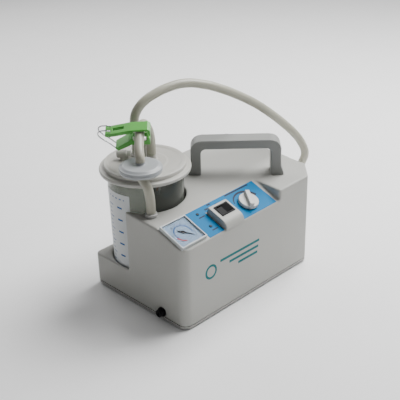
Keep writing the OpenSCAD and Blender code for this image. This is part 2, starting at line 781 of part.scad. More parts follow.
module hose_coil() {
    placed() color("tan") translate([coil_at[0], coil_at[1], 0.3]) rotate_extrude()
        translate([coil_r - hose_d / 2, 0]) square([hose_d, coil_top - 0.3]);
}

module hose_tail() {
    placed() color("tan") swept_tube(tail_route, hose_d / 2, 10);
}

module suction_connector() {
    placed() color("ivory") translate([208, 73.3, floor_z]) rotate([0, 90, tail_turn]) difference() {
        union() {
            cylinder(r = 6.5, h = 12);
            translate([0, 0, 12]) cylinder(r1 = 6.5, r2 = 4.6, h = 26);
            translate([0, 0, 38]) cylinder(r = 4.2, h = 14);
        }
        translate([0, 0, 6]) cylinder(r = 2.5, h = 60);
    }
}

upper_housing();
base_tray();
rubber_feet();
housing_screws();
carry_handle();
handle_screws();
control_label();
gauge_case();
gauge_dial();
gauge_lens();
gauge_stem();
gauge_needle();
switch_boss();
switch_body();
power_rocker();
indicator_lamps();
regulator_body();
regulator_nut();
regulator_knob();
regulator_needle();
vacuum_port();
fuse_holder();
fuse_link();
fuse_cap();
power_inlet();
pump_frame();
magnet_cores();
coil_bobbins();
armature();
diaphragms();
pump_heads();
valve_flaps();
head_screws();
pump_mounts();
silencer();
vacuum_tubes();
terminal_board();
suction_jar();
jar_scale();
jar_lid();
lid_gasket();
float_cage();
float_ball();
filter_base();
filter_membrane();
filter_cover();
bridge_hose();
filter_hose();
clamp_base();
clamp_spring();
clamp_lever();
patient_hose();
hose_coil();
hose_tail();
suction_connector();
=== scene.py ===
"""Looks of the suction pump: every visible piece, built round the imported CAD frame, in metres."""

import json
import logging
import math
from dataclasses import dataclass, field
from enum import Enum
from typing import Callable, Sequence

import bmesh
import bpy
from mathutils import Matrix, Vector


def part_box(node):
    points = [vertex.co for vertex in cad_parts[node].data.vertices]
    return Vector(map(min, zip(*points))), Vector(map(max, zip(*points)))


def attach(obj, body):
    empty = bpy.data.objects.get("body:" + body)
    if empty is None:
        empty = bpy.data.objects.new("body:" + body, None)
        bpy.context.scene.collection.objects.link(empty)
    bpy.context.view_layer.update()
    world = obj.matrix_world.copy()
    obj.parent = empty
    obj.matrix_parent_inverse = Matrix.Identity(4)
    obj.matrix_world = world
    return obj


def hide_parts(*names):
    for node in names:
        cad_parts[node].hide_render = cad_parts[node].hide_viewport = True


Colour = tuple[float, float, float]
Point = tuple[float, float, float]
Flat = tuple[float, float]
Corner = tuple[float, float, float]
Placing = Callable[[float, float, float], Vector]

log = logging.getLogger("suction_pump")
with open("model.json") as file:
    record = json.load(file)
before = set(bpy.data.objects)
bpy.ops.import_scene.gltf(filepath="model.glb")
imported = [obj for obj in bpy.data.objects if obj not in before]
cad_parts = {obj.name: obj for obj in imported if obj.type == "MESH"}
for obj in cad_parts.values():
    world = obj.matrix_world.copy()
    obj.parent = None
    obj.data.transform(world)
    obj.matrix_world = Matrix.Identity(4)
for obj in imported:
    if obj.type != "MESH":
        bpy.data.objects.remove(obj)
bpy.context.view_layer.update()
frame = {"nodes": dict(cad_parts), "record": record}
RECORD = frame["record"]


class Body(str, Enum):
    """The CAD bodies that pieces ride on."""

    CASE = "case"
    NEEDLE = "needle"
    ROCKER = "rocker"
    KNOB = "knob"
    JAR = "jar"
    LID = "lid"
    FLOAT = "float"
    CLAMP = "clamp"
    FUSE_CAP = "fuse_cap"


# ---------------------------------------------------------------- places


@dataclass(frozen=True)
class Places:
    """Turns the case's own millimetres, and those of its sloping panel, into points of the row frame."""

    middle: Vector
    panel_at: Vector
    across: Vector
    upslope: Vector
    normal: Vector
    knob_u: float = 6.0
    knob_v: float = -31.3

    @classmethod
    def from_frame(cls) -> "Places":
        """Reads the middle of the case and the panel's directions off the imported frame.

        Returns:
            The places.
        """
        low, high = (Vector(corner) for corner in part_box("upper_housing"))
        joints = {joint["name"]: joint for joint in RECORD["behaviour"]["joints"]}
        normal = Vector(joints["regulator_turn"]["axis"]).normalized()
        upslope = Vector(joints["power_rocker"]["axis"]).normalized()
        middle = (low + high) / 2
        return cls(
            middle=Vector((middle.x, middle.y, 0.0)),
            panel_at=Vector(joints["regulator_turn"]["pos_m"]),
            across=upslope.cross(normal).normalized(),
            upslope=upslope,
            normal=normal,
        )

    def at(self, x: float, y: float, z: float) -> Vector:
        """The point x, y, z millimetres from the middle of the case's footprint."""
        return self.middle + Vector((x, y, z)) / 1000

    def path(self, points: Sequence[Point]) -> list[Vector]:
        """Each of the points through at()."""
        return [self.at(*point) for point in points]

    def panel(self, u: float, v: float, w: float = 0.0) -> Vector:
        """The point u along, v up the slope and w off the panel, in millimetres."""
        step = (u - self.knob_u) * self.across + (v - self.knob_v) * self.upslope + w * self.normal
        return self.panel_at + step / 1000


# ---------------------------------------------------------------- finishes

MOTTLING_SCALE = 14.0
HAZE_SCALE = 22.0
STREAK_SCALE = 260.0
RAMP_START, RAMP_END = 0.3, 0.7
PLASTIC_IOR = 1.46
MILKY_REACH = (0.004, 0.004, 0.0035)
COAT_ROUGHNESS = 0.12
STREAK_DEPTH = 0.00001


class Graph:
    """A small helper that builds one node material."""

    def __init__(self, name: str) -> None:
        """Starts an empty material with a Principled shader.

        Args:
            name: The material's name.
        """
        self.material = bpy.data.materials.new(name)
        self.material.use_nodes = True
        self.tree = self.material.node_tree
        self.tree.nodes.clear()
        self.shader = self.tree.nodes.new("ShaderNodeBsdfPrincipled")
        output = self.tree.nodes.new("ShaderNodeOutputMaterial")
        self.link(self.shader.outputs["BSDF"], output.inputs["Surface"])
        self.place = self.tree.nodes.new("ShaderNodeTexCoord").outputs["Object"]

    def link(self, source: bpy.types.NodeSocket, target: bpy.types.NodeSocket) -> None:
        """Joins two sockets."""
        self.tree.links.new(source, target)

    def noise(self, scale: float, detail: float, stretch: Point | None = None) -> bpy.types.NodeSocket:
        """A noise value in object space.

        Args:
            scale: Features per metre.
            detail: Octaves.
            stretch: Factors on x, y and z, for a drawn-out grain.

        Returns:
            The noise's value socket.
        """
        node = self.tree.nodes.new("ShaderNodeTexNoise")
        node.inputs["Scale"].default_value = scale
        node.inputs["Detail"].default_value = detail
        place = self.place
        if stretch is not None:
            mapping = self.tree.nodes.new("ShaderNodeMapping")
            mapping.inputs["Scale"].default_value = stretch
            self.link(self.place, mapping.inputs["Vector"])
            place = mapping.outputs["Vector"]
        self.link(place, node.inputs["Vector"])
        return node.outputs["Fac"]

    def ramp(self, value: bpy.types.NodeSocket, low: Colour, high: Colour) -> bpy.types.NodeSocket:
        """A colour that runs between two.

        Args:
            value: The socket that picks the colour.
            low: The colour up to RAMP_START.
            high: The colour from RAMP_END.

        Returns:
            The colour socket.
        """
        node = self.tree.nodes.new("ShaderNodeValToRGB")
        node.color_ramp.elements[0].color = (*low, 1.0)
        node.color_ramp.elements[0].position = RAMP_START
        node.color_ramp.elements[1].color = (*high, 1.0)
        node.color_ramp.elements[1].position = RAMP_END
        self.link(value, node.inputs["Fac"])
        return node.outputs["Color"]

    def spread(self, value: bpy.types.NodeSocket, low: float, high: float) -> bpy.types.NodeSocket:
        """A number between two.

        Args:
            value: The socket that picks the number, from 0 to 1.
            low: The number at 0.
            high: The number at 1.

        Returns:
            The number's socket.
        """
        node = self.tree.nodes.new("ShaderNodeMapRange")
        node.inputs["To Min"].default_value = low
        node.inputs["To Max"].default_value = high
        self.link(value, node.inputs["Value"])
        return node.outputs["Result"]

    def bump(self, value: bpy.types.NodeSocket, depth: float) -> None:
        """Raises the surface.

        Args:
            value: The socket that is high where the surface is.
            depth: The height in metres.
        """
        node = self.tree.nodes.new("ShaderNodeBump")
        node.inputs["Strength"].default_value = 1.0
        node.inputs["Distance"].default_value = depth
        self.link(value, node.inputs["Height"])
        self.link(node.outputs["Normal"], self.shader.inputs["Normal"])


def shade(colour: Colour, factor: float) -> Colour:
    """The colour made lighter or darker by a factor."""
    return (min(colour[0] * factor, 1.0), min(colour[1] * factor, 1.0), min(colour[2] * factor, 1.0))


@dataclass(frozen=True)
class Moulded:
    """An opaque or milky moulded plastic or rubber with a fine grain and faint mottling."""

    name: str
    colour: Colour
    roughness: float = 0.42
    grain: float = 1400.0
    depth: float = 0.00003
    mottling: float = 0.05
    milkiness: float = 0.0
    clearness: float = 0.0
    coat: float = 0.0
    specular: float = 0.5

    def material(self) -> bpy.types.Material:
        """Builds the node material.

        Returns:
            The new material.
        """
        graph = Graph(self.name)
        wide = graph.noise(MOTTLING_SCALE, 4.0)
        colour = graph.ramp(wide, shade(self.colour, 1 - self.mottling), shade(self.colour, 1 + self.mottling))
        graph.link(colour, graph.shader.inputs["Base Color"])
        fine = graph.noise(self.grain, 2.0)
        rough = graph.spread(fine, max(self.roughness - 0.06, 0.02), self.roughness + 0.08)
        graph.link(rough, graph.shader.inputs["Roughness"])
        graph.bump(fine, self.depth)
        graph.shader.inputs["Subsurface Weight"].default_value = self.milkiness
        graph.shader.inputs["Subsurface Radius"].default_value = MILKY_REACH
        graph.shader.inputs["Transmission Weight"].default_value = self.clearness
        graph.shader.inputs["IOR"].default_value = PLASTIC_IOR
        graph.shader.inputs["Coat Weight"].default_value = self.coat
        graph.shader.inputs["Coat Roughness"].default_value = COAT_ROUGHNESS
        graph.shader.inputs["Specular IOR Level"].default_value = self.specular
        return graph.material


@dataclass(frozen=True)
class Clear:
    """A clear moulding with a faint haze and gentle waviness."""

    name: str
    colour: Colour
    roughness: float = 0.05
    ior: float = 1.3
    wave: float = 0.00005
    clearness: float = 1.0

    def material(self) -> bpy.types.Material:
        """Builds the node material.

        Returns:
            The new material.
        """
        graph = Graph(self.name)
        wide = graph.noise(HAZE_SCALE, 2.0)
        graph.link(graph.ramp(wide, shade(self.colour, 0.97), self.colour), graph.shader.inputs["Base Color"])
        graph.link(graph.spread(wide, self.roughness, self.roughness + 0.06), graph.shader.inputs["Roughness"])
        graph.bump(wide, self.wave)
        graph.shader.inputs["Transmission Weight"].default_value = self.clearness
        graph.shader.inputs["IOR"].default_value = self.ior
        return graph.material


@dataclass(frozen=True)
class Metal:
    """A plated or drawn metal with fine streaks."""

    name: str
    colour: Colour
    roughness: float = 0.28
    streak: Point = (1.0, 1.0, 12.0)

    def material(self) -> bpy.types.Material:
        """Builds the node material.

        Returns:
            The new material.
        """
        graph = Graph(self.name)
        lines = graph.noise(STREAK_SCALE, 4.0, self.streak)
        colour = graph.ramp(lines, shade(self.colour, 0.86), shade(self.colour, 1.08))
        graph.link(colour, graph.shader.inputs["Base Color"])
        rough = graph.spread(lines, self.roughness - 0.08, self.roughness + 0.14)
        graph.link(rough, graph.shader.inputs["Roughness"])
        graph.bump(lines, STREAK_DEPTH)
        graph.shader.inputs["Metallic"].default_value = 1.0
        return graph.material


Finish = Moulded | Clear | Metal

HOUSING = Moulded("housing_abs", (0.395, 0.395, 0.37), 0.46, 1500.0, 0.000025, 0.025)
TRAY = Moulded("tray_abs", (0.37, 0.37, 0.35), 0.5, 1500.0, 0.000025, 0.03)
HANDLE = Moulded("handle_abs", (0.27, 0.275, 0.265), 0.42, 1600.0, 0.00003, 0.04)
FOOT_RUBBER = Moulded("foot_rubber", (0.03, 0.03, 0.03), 0.7, 1200.0, 0.00005, 0.1)
BLACK = Moulded("black_moulding", (0.006, 0.006, 0.007), 0.5, 1600.0, 0.00002, 0.1, specular=0.12)
LABEL = Moulded("label_film", (0.0, 0.165, 0.38), 0.45, 2200.0, 0.000012, 0.04, specular=0.08)
PRINT_DARK = Moulded("print_dark", (0.008, 0.014, 0.03), 0.5, 2200.0, 0.00001, 0.1, specular=0.2)
PRINT_TEAL = Moulded("print_teal", (0.004, 0.13, 0.14), 0.5, 2200.0, 0.00001, 0.1, specular=0.2)
PRINT_RED = Moulded("print_red", (0.50, 0.05, 0.05), 0.5, 2200.0, 0.00001, 0.1, specular=0.2)
PRINT_BLUE = Moulded("print_blue", (0.02, 0.10, 0.30), 0.5, 2200.0, 0.00001, 0.1, specular=0.2)
BEZEL = Moulded("bezel_plastic", (0.46, 0.49, 0.50), 0.3, 1600.0, 0.00002, 0.03)
DIAL = Moulded("dial_card", (0.26, 0.37, 0.50), 0.55, 1200.0, 0.00001, 0.03, specular=0.2)
WHITE = Moulded("white_moulding", (0.47, 0.47, 0.455), 0.34, 1600.0, 0.00002, 0.03, 0.1)
LAMP = Moulded("lamp_lens", (0.008, 0.02, 0.03), 0.4, 900.0, 0.00001, 0.1, specular=0.15)
LID = Moulded("lid_plastic", (0.53, 0.52, 0.48), 0.32, 900.0, 0.00003, 0.04, 0.25, 0.08)
FILTER = Moulded("filter_plastic", (0.40, 0.42, 0.435), 0.3, 900.0, 0.00003, 0.03, 0.3, 0.15)
HOSE = Moulded("hose_silicone", (0.44, 0.43, 0.35), 0.32, 700.0, 0.00003, 0.05, 0.25, 0.12, 0.1)
GREEN = Moulded("clamp_plastic", (0.09, 0.38, 0.06), 0.34, 1500.0, 0.00004, 0.08)
ORANGE = Moulded("float_plastic", (0.62, 0.16, 0.04), 0.4, 1200.0, 0.00003, 0.06)
CLOTH = Moulded("filter_cloth", (0.75, 0.75, 0.74), 0.9, 2600.0, 0.0001, 0.05)
BOARD = Moulded("circuit_board", (0.02, 0.14, 0.06), 0.4, 1200.0, 0.00003, 0.12)
WINDING = Moulded("coil_tape", (0.30, 0.13, 0.04), 0.5, 900.0, 0.0001, 0.2)
GREY = Moulded("pump_moulding", (0.12, 0.12, 0.125), 0.5, 1300.0, 0.00004, 0.08)
SCALE_FILM = Moulded("scale_film", (0.64, 0.67, 0.68), 0.45, 1500.0, 0.00002, 0.03, 0.1)
# The jar's dark grey tint is partly painted shade: the clear plastic is darkened to stand for the shade of the bay
# and the lid seen through the jar.
JAR = Clear("jar_plastic_painted_shade", (0.35, 0.365, 0.335), 0.05, 1.2, 0.00004, 0.8)
LENS = Clear("lens_plastic", (0.97, 0.98, 1.0), 0.02, 1.06, 0.00001)
STEEL = Metal("plated_steel", (0.62, 0.62, 0.63))
CORE = Metal("core_steel", (0.18, 0.18, 0.19), 0.5, (1.0, 14.0, 1.0))
BRASS = Metal("turned_brass", (0.66, 0.46, 0.18), 0.3)
WIRE = Metal("spring_wire", (0.62, 0.62, 0.64), 0.2)

CAD_FINISH: dict[str, Finish] = {
    "base_tray": TRAY, "rubber_feet": FOOT_RUBBER, "housing_screws": STEEL, "handle_screws": STEEL,
    "control_label": LABEL, "gauge_dial": DIAL, "gauge_lens": LENS, "gauge_stem": BRASS,
    "regulator_body": BRASS, "regulator_nut": STEEL, "regulator_needle": STEEL, "fuse_holder": BLACK,
    "fuse_link": STEEL, "power_inlet": BLACK, "pump_frame": STEEL, "magnet_cores": CORE,
    "coil_bobbins": WINDING, "armature": STEEL, "diaphragms": FOOT_RUBBER, "pump_heads": GREY,
    "valve_flaps": FOOT_RUBBER, "head_screws": STEEL, "pump_mounts": FOOT_RUBBER, "silencer": GREY,
    "vacuum_tubes": HOSE, "terminal_board": BOARD, "lid_gasket": FOOT_RUBBER, "float_cage": WHITE,
    "filter_membrane": CLOTH, "suction_connector": LID,
}


class Paintbox:
    """Gives out each finish's material, building it once."""

    def __init__(self) -> None:
        """Starts with no materials."""
        self.made: dict[str, bpy.types.Material] = {}

    def get(self, finish: Finish) -> bpy.types.Material:
        """Looks a finish up.

        Args:
            finish: The finish.

        Returns:
            Its material.
        """
        if finish.name not in self.made:
            self.made[finish.name] = finish.material()
        return self.made[finish.name]

    def dress(self, piece: bpy.types.Object, finish: Finish) -> bpy.types.Object:
        """Puts a finish on a piece, in place of what it had.

        Args:
            piece: The piece.
            finish: Its finish.

        Returns:
            The piece.
        """
        material = self.get(finish)
        if piece.material_slots:
            for slot in piece.material_slots:
                slot.material = material
        else:
            piece.data.materials.append(material)
        return piece


PAINT = Paintbox()


# ---------------------------------------------------------------- shapes

SHARP_EDGE = math.radians(35)
CAD_WELD = 0.000005
AXIS_WELD = 0.000002
CORNER_STEPS = 5
CORNER_SHARE = 0.45
SMALLEST_BEND = 0.01
TURN = 2 * math.pi


def make(
    name: str,
    body: Body,
    verts: Sequence[Vector],
    faces: Sequence[Sequence[int]],
    finish: Finish,
    smooth: bool = True,
) -> bpy.types.Object:
    """A mesh piece that rides on a body.

    Args:
        name: The piece's name.
        body: The body that it moves with.
        verts: Its points in the row frame.
        faces: Its faces.
        finish: Its finish.
        smooth: Whether it is shaded smooth, with sharp edges kept by angle.

    Returns:
        The new object.
    """
    mesh = bpy.data.meshes.new(name)
    mesh.from_pydata([tuple(v) for v in verts], [], [tuple(f) for f in faces])
    mesh.validate()
    piece = bpy.data.objects.new(name, mesh)
    bpy.context.collection.objects.link(piece)
    settle(piece, smooth)
    PAINT.dress(piece, finish)
    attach(piece, body.value)
    log.info("%s: %d faces on %s", name, len(mesh.polygons), body.value)
    return piece


def settle(piece: bpy.types.Object, smooth: bool) -> None:
    """Makes normals consistent and sets the shading.

    Args:
        piece: The piece.
        smooth: Whether it is shaded smooth, with edges over SHARP_EDGE kept sharp.
    """
    work = bmesh.new()
    work.from_mesh(piece.data)
    bmesh.ops.recalc_face_normals(work, faces=work.faces)
    for face in work.faces:
        face.smooth = smooth
    for edge in work.edges:
        if smooth and len(edge.link_faces) == 2 and edge.calc_face_angle(0.0) > SHARP_EDGE:
            edge.smooth = False
    work.to_mesh(piece.data)
    work.free()


def softened(
    node: str, name: str, body: Body, finish: Finish, voxel: float, passes: int
) -> bpy.types.Object:
    """A copy of a CAD node with its edges rounded as a moulding's are, that stands for the node.

    Args:
        node: The CAD node.
        name: The new piece's name.
        body: The body that it moves with.
        finish: Its finish.
        voxel: Size of the remeshing grid in metres.
        passes: Rounds of smoothing, which widen the rounding.

    Returns:
        The new object.
    """
    mesh = frame["nodes"][node].data.copy()
    rough = bpy.data.objects.new(name + "_rough", mesh)
    bpy.context.collection.objects.link(rough)
    work = bmesh.new()
    work.from_mesh(mesh)
    bmesh.ops.remove_doubles(work, verts=work.verts, dist=CAD_WELD)
    work.to_mesh(mesh)
    work.free()
    remesh = rough.modifiers.new("grid", "REMESH")
    remesh.mode = "VOXEL"
    remesh.voxel_size = voxel
    ease = rough.modifiers.new("ease", "SMOOTH")
    ease.factor = 0.5
    ease.iterations = passes
    graph = bpy.context.evaluated_depsgraph_get()
    eased = bpy.data.meshes.new_from_object(rough.evaluated_get(graph))
    bpy.data.objects.remove(rough)
    piece = bpy.data.objects.new(name, eased)
    eased.name = name
    bpy.context.collection.objects.link(piece)
    eased.polygons.foreach_set("use_smooth", [True] * len(eased.polygons))
    eased.materials.clear()
    PAINT.dress(piece, finish)
    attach(piece, body.value)
    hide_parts(node)
    log.info("%s: %d faces for %s", name, len(eased.polygons), node)
    return piece


def rounded(profile: Sequence[Corner]) -> list[Flat]:
    """A closed profile with its corners rounded.

    Args:
        profile: Corners as radius from the axis, height and corner radius, in millimetres.

    Returns:
        The points of the rounded outline.
    """
    points: list[Flat] = []
    count = len(profile)
    for i, (r, z, bend) in enumerate(profile):
        here = Vector((r, z))
        before = Vector(profile[i - 1][:2]) - here
        after = Vector(profile[(i + 1) % count][:2]) - here
        reach = min(bend, before.length * CORNER_SHARE, after.length * CORNER_SHARE)
        if reach < SMALLEST_BEND:
            points.append((r, z))
            continue
        start, end = here + before.normalized() * reach, here + after.normalized() * reach
        for k in range(CORNER_STEPS + 1):
            t = k / CORNER_STEPS
            spot = start.lerp(here, t).lerp(here.lerp(end, t), t)
            points.append((spot.x, spot.y))
    return points


def lathe(
    name: str, body: Body, finish: Finish, place: Placing, profile: Sequence[Corner], sides: int
) -> bpy.types.Object:
    """A turned piece from a closed profile of rounded corners.

    Args:
        name: The piece's name.
        body: The body that it moves with.
        finish: Its finish.
        place: Takes local millimetres, with the axis along z, to the row frame.
        profile: Corners as radius, height and corner radius, in millimetres.
        sides: Steps round the axis.

    Returns:
        The new object.
    """
    outline = rounded(profile)
    verts: list[Vector] = []
    for k in range(sides):
        angle = TURN * k / sides
        verts += [place(r * math.cos(angle), r * math.sin(angle), z) for r, z in outline]
    count = len(outline)
    faces: list[tuple[int, ...]] = []
    for k in range(sides):
        here, there = k * count, ((k + 1) % sides) * count
        for i in range(count):
            above = (i + 1) % count
            faces.append((here + i, there + i, there + above, here + above))
    piece = make(name, body, verts, faces, finish)
    weld(piece)
    return piece


def weld(piece: bpy.types.Object) -> None:
    """Merges points that meet, as on a turned piece's axis.

    Args:
        piece: The piece.
    """
    work = bmesh.new()
    work.from_mesh(piece.data)
    bmesh.ops.remove_doubles(work, verts=work.verts, dist=AXIS_WELD)
    work.to_mesh(piece.data)
    work.free()
    settle(piece, True)


def strip(
    name: str,
    body: Body,
    finish: Finish,
    place: Placing,
    line: Sequence[Flat],
    widths: Sequence[float],
    thick: float = 0.12,
) -> bpy.types.Object:
    """A thin printed band along a line in a plane.

    Args:
        name: The piece's name.
        body: The body that it moves with.
        finish: Its finish.
        place: Takes local millimetres, with z off the surface, to the row frame.
        line: The band's middle line.
        widths: The band's width at each point of the line.
        thick: How far it stands off the surface, in millimetres.

    Returns:
        The new object.
    """
    verts: list[Vector] = []
    for i, (x, y) in enumerate(line):
        ahead = Vector(line[min(i + 1, len(line) - 1)]) - Vector(line[max(i - 1, 0)])
        side = Vector((-ahead.y, ahead.x)).normalized() * widths[i] / 2
        for z in (0.0, thick):
            verts += [place(x + side.x, y + side.y, z), place(x - side.x, y - side.y, z)]
    faces: list[tuple[int, ...]] = []
    for i in range(len(line) - 1):
        a, b = 4 * i, 4 * i + 4
        faces += [(a, b, b + 1, a + 1), (a + 2, a + 3, b + 3, b + 2)]
        faces += [(a, a + 2, b + 2, b), (a + 1, b + 1, b + 3, a + 3)]
    last = 4 * (len(line) - 1)
    faces += [(0, 1, 3, 2), (last, last + 2, last + 3, last + 1)]
    return make(name, body, verts, faces, finish, False)


def arc(radius: float, start: float, end: float, steps: int, middle: Flat = (0.0, 0.0)) -> list[Flat]:
    """Points on an arc in a plane, in millimetres and degrees."""
    turns = [math.radians(start + (end - start) * k / steps) for k in range(steps + 1)]
    return [(middle[0] + radius * math.cos(t), middle[1] + radius * math.sin(t)) for t in turns]


def tube(name: str, points: Sequence[Vector], radius: float, finish: Finish) -> bpy.types.Object:
    """A round tube or wire along one open spline through the points.

    Args:
        name: The piece's name.
        points: Where it runs, in the row frame.
        radius: Its radius in metres.
        finish: Its finish.

    Returns:
        The new curve object, which rides on nothing yet.
    """
    curve = bpy.data.curves.new(name, "CURVE")
    curve.dimensions = "3D"
    curve.bevel_depth = radius
    curve.bevel_resolution = 7
    curve.resolution_u = 8
    curve.use_fill_caps = True
    spline = curve.splines.new("BEZIER")
    spline.bezier_points.add(len(points) - 1)
    for knot, point in zip(spline.bezier_points, points):
        knot.co = point
        knot.handle_left_type = knot.handle_right_type = "AUTO"
    piece = bpy.data.objects.new(name, curve)
    bpy.context.collection.objects.link(piece)
    curve.materials.append(PAINT.get(finish))
    log.info("%s: %.3f m long", name, spline.calc_length())
    return piece


# ---------------------------------------------------------------- studio


@dataclass
class Studio:
    """Camera, floor and soft light."""

    places: Places
    lens: float = 77.97
    azimuth: float = -44.58
    elevation: float = 27.56
    roll: float = -1.34
    sensor: float = 36.0
    eye_at: Point = (-797.5, -792.6, 703.5)
    lamps_aim: Point = (0.0, 0.0, 0.1)
    room_light: float = 0.18
    floor_half: float = 6.0

    def camera(self) -> None:
        """Stands the camera front left of the case, a little above it."""
        a, e, r = (math.radians(x) for x in (self.azimuth, self.elevation, self.roll))
        back = Vector((math.sin(a) * math.cos(e), -math.cos(a) * math.cos(e), math.sin(e)))
        right = Vector((math.cos(a), math.sin(a), 0.0))
        up = back.cross(right)
        across = math.cos(r) * right + math.sin(r) * up
        above = -math.sin(r) * right + math.cos(r) * up
        data = bpy.data.cameras.new("camera")
        data.lens = self.lens
        data.sensor_width = self.sensor
        data.clip_start = 0.05
        eye = bpy.data.objects.new("camera", data)
        bpy.context.collection.objects.link(eye)
        turn = Matrix((across, above, back)).transposed().to_4x4()
        eye.matrix_world = Matrix.Translation(self.places.at(*self.eye_at)) @ turn
        bpy.context.scene.camera = eye

    def lamp(self, name: str, place: Point, size: float, power: float) -> None:
        """A soft square light that looks at the object.

        Args:
            name: The light's name.
            place: Where it hangs, in metres.
            size: Its side in metres.
            power: Its power in watts.
        """
        data = bpy.data.lights.new(name, "AREA")
        data.size = size
        data.energy = power
        lamp = bpy.data.objects.new(name, data)
        bpy.context.collection.objects.link(lamp)
        aim = Vector(self.lamps_aim) - Vector(place)
        turn = aim.to_track_quat("-Z", "Y").to_matrix().to_4x4()
        lamp.matrix_world = Matrix.Translation(Vector(place)) @ turn

    def light(self) -> None:
        """Lights the room softly from above and the right."""
        world = bpy.data.worlds.new("room")
        world.use_nodes = True
        ground = world.node_tree.nodes["Background"]
        ground.inputs["Color"].default_value = (1.0, 1.0, 1.0, 1.0)
        ground.inputs["Strength"].default_value = self.room_light
        bpy.context.scene.world = world
        self.lamp("key", (0.85, -0.12, 1.32), 1.1, 52.0)
        self.lamp("front_fill", (0.4, -1.5, 0.9), 1.2, 1.5)
        self.lamp("rim", (0.3, 1.4, 1.0), 1.0, 8.0)

    def floor(self) -> None:
        """Lays a plain pale floor."""
        mesh = bpy.data.meshes.new("floor")
        half = self.floor_half
        mesh.from_pydata([(-half, -half, 0), (half, -half, 0), (half, half, 0), (-half, half, 0)], [], [(0, 1, 2, 3)])
        floor = bpy.data.objects.new("floor", mesh)
        bpy.context.collection.objects.link(floor)
        PAINT.dress(floor, Moulded("floor_paper", (0.97, 0.97, 0.97), 0.8, 300.0, 0.00001, 0.01))


# ---------------------------------------------------------------- hoses


@dataclass
class Hoses:
    """The patient hose with its coil, and the two short hoses of the filter."""

    places: Places
    diameter: float = 0.013
    coil_at: Flat = (195.0, 162.0)
    coil_r: float = 75.0
    coil_start: float = -25.0
    coil_sweep: float = 630.0
    coil_steps: int = 32
    coil_top: float = 29.6
    coil_drop: float = 22.8
    slack: float = 0.00002
    length: float = 1.49
    route: Sequence[Point] = (
        (-80, 60, 206.2), (-80, 60, 222), (-81, 60, 240), (-79.5, 60, 256), (-73, 58, 267.5),
        (-63, 55.5, 275.5), (-50, 52.5, 281), (-29, 48, 286), (-1, 41, 287), (29, 33, 279), (58, 26, 266),
        (88, 19, 249), (118, 12, 229), (144, 6, 208), (167, 0, 187), (186, -6, 167), (201, -10, 147),
        (211, -11, 126), (216, -2, 104), (220, 12, 83), (224, 30, 64), (229, 53, 50), (237, 75, 41),
        (246, 92, 36), (255, 108, 33),
    )
    tail: Sequence[Point] = ((192, 80.5, 6.8), (200, 77, 6.8), (208, 73.3, 6.8))
    bridge: Sequence[Point] = (
        (-76, 33, 206.2), (-76, 33, 218), (-76, 34, 232), (-78, 35, 243), (-83, 35, 251.5),
        (-90, 32.5, 255.2), (-98, 28.5, 254.3), (-104, 22.5, 251.5), (-110, 16.5, 248.7),
        (-118, 8.5, 244.4), (-125, 1.5, 239.4), (-129.8, -4.6, 234), (-131.5, -7.4, 230),
        (-131.5, -7.4, 226.3),
    )
    drop: Sequence[Point] = (
        (-131.5, -7.4, 206.7), (-131.5, -7.4, 204.5), (-131.6, -10, 200.5), (-131.3, -14.9, 196),
        (-130.8, -18.2, 191), (-130.2, -19.4, 186), (-128.8, -19.4, 178), (-127, -18.2, 170),
        (-125.2, -16.4, 162), (-124, -15.2, 156), (-124, -15, 153.5), (-124, -15, 150.4),
    )

    def coil(self) -> list[Point]:
        """Winds the coil from its top down to the surface.

        Returns:
            Points along its turns.
        """
        points: list[Point] = []
        for k in range(self.coil_steps + 1):
            angle = math.radians(self.coil_start + self.coil_sweep * k / self.coil_steps)
            x = self.coil_at[0] + self.coil_r * math.cos(angle)
            y = self.coil_at[1] + self.coil_r * math.sin(angle)
            points.append((x, y, self.coil_top - self.coil_drop * k / self.coil_steps))
        return points

    def build(self) -> None:
        run = self.places.path([*self.route, *self.coil(), *self.tail])
        hose = tube("patient_hose_tube", run, self.diameter / 2, HOSE)
        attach(hose, Body.LID.value)
        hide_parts("patient_hose", "hose_coil", "hose_tail")
        tuple(run[0])
        short = (("bridge_tube", "bridge_hose", self.bridge), ("filter_tube", "filter_hose", self.drop))
        for name, node, points in short:
            piece = tube(name, self.places.path(points), self.diameter / 2 - self.slack, HOSE)
            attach(piece, Body.LID.value)
            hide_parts(node)


# ---------------------------------------------------------------- case


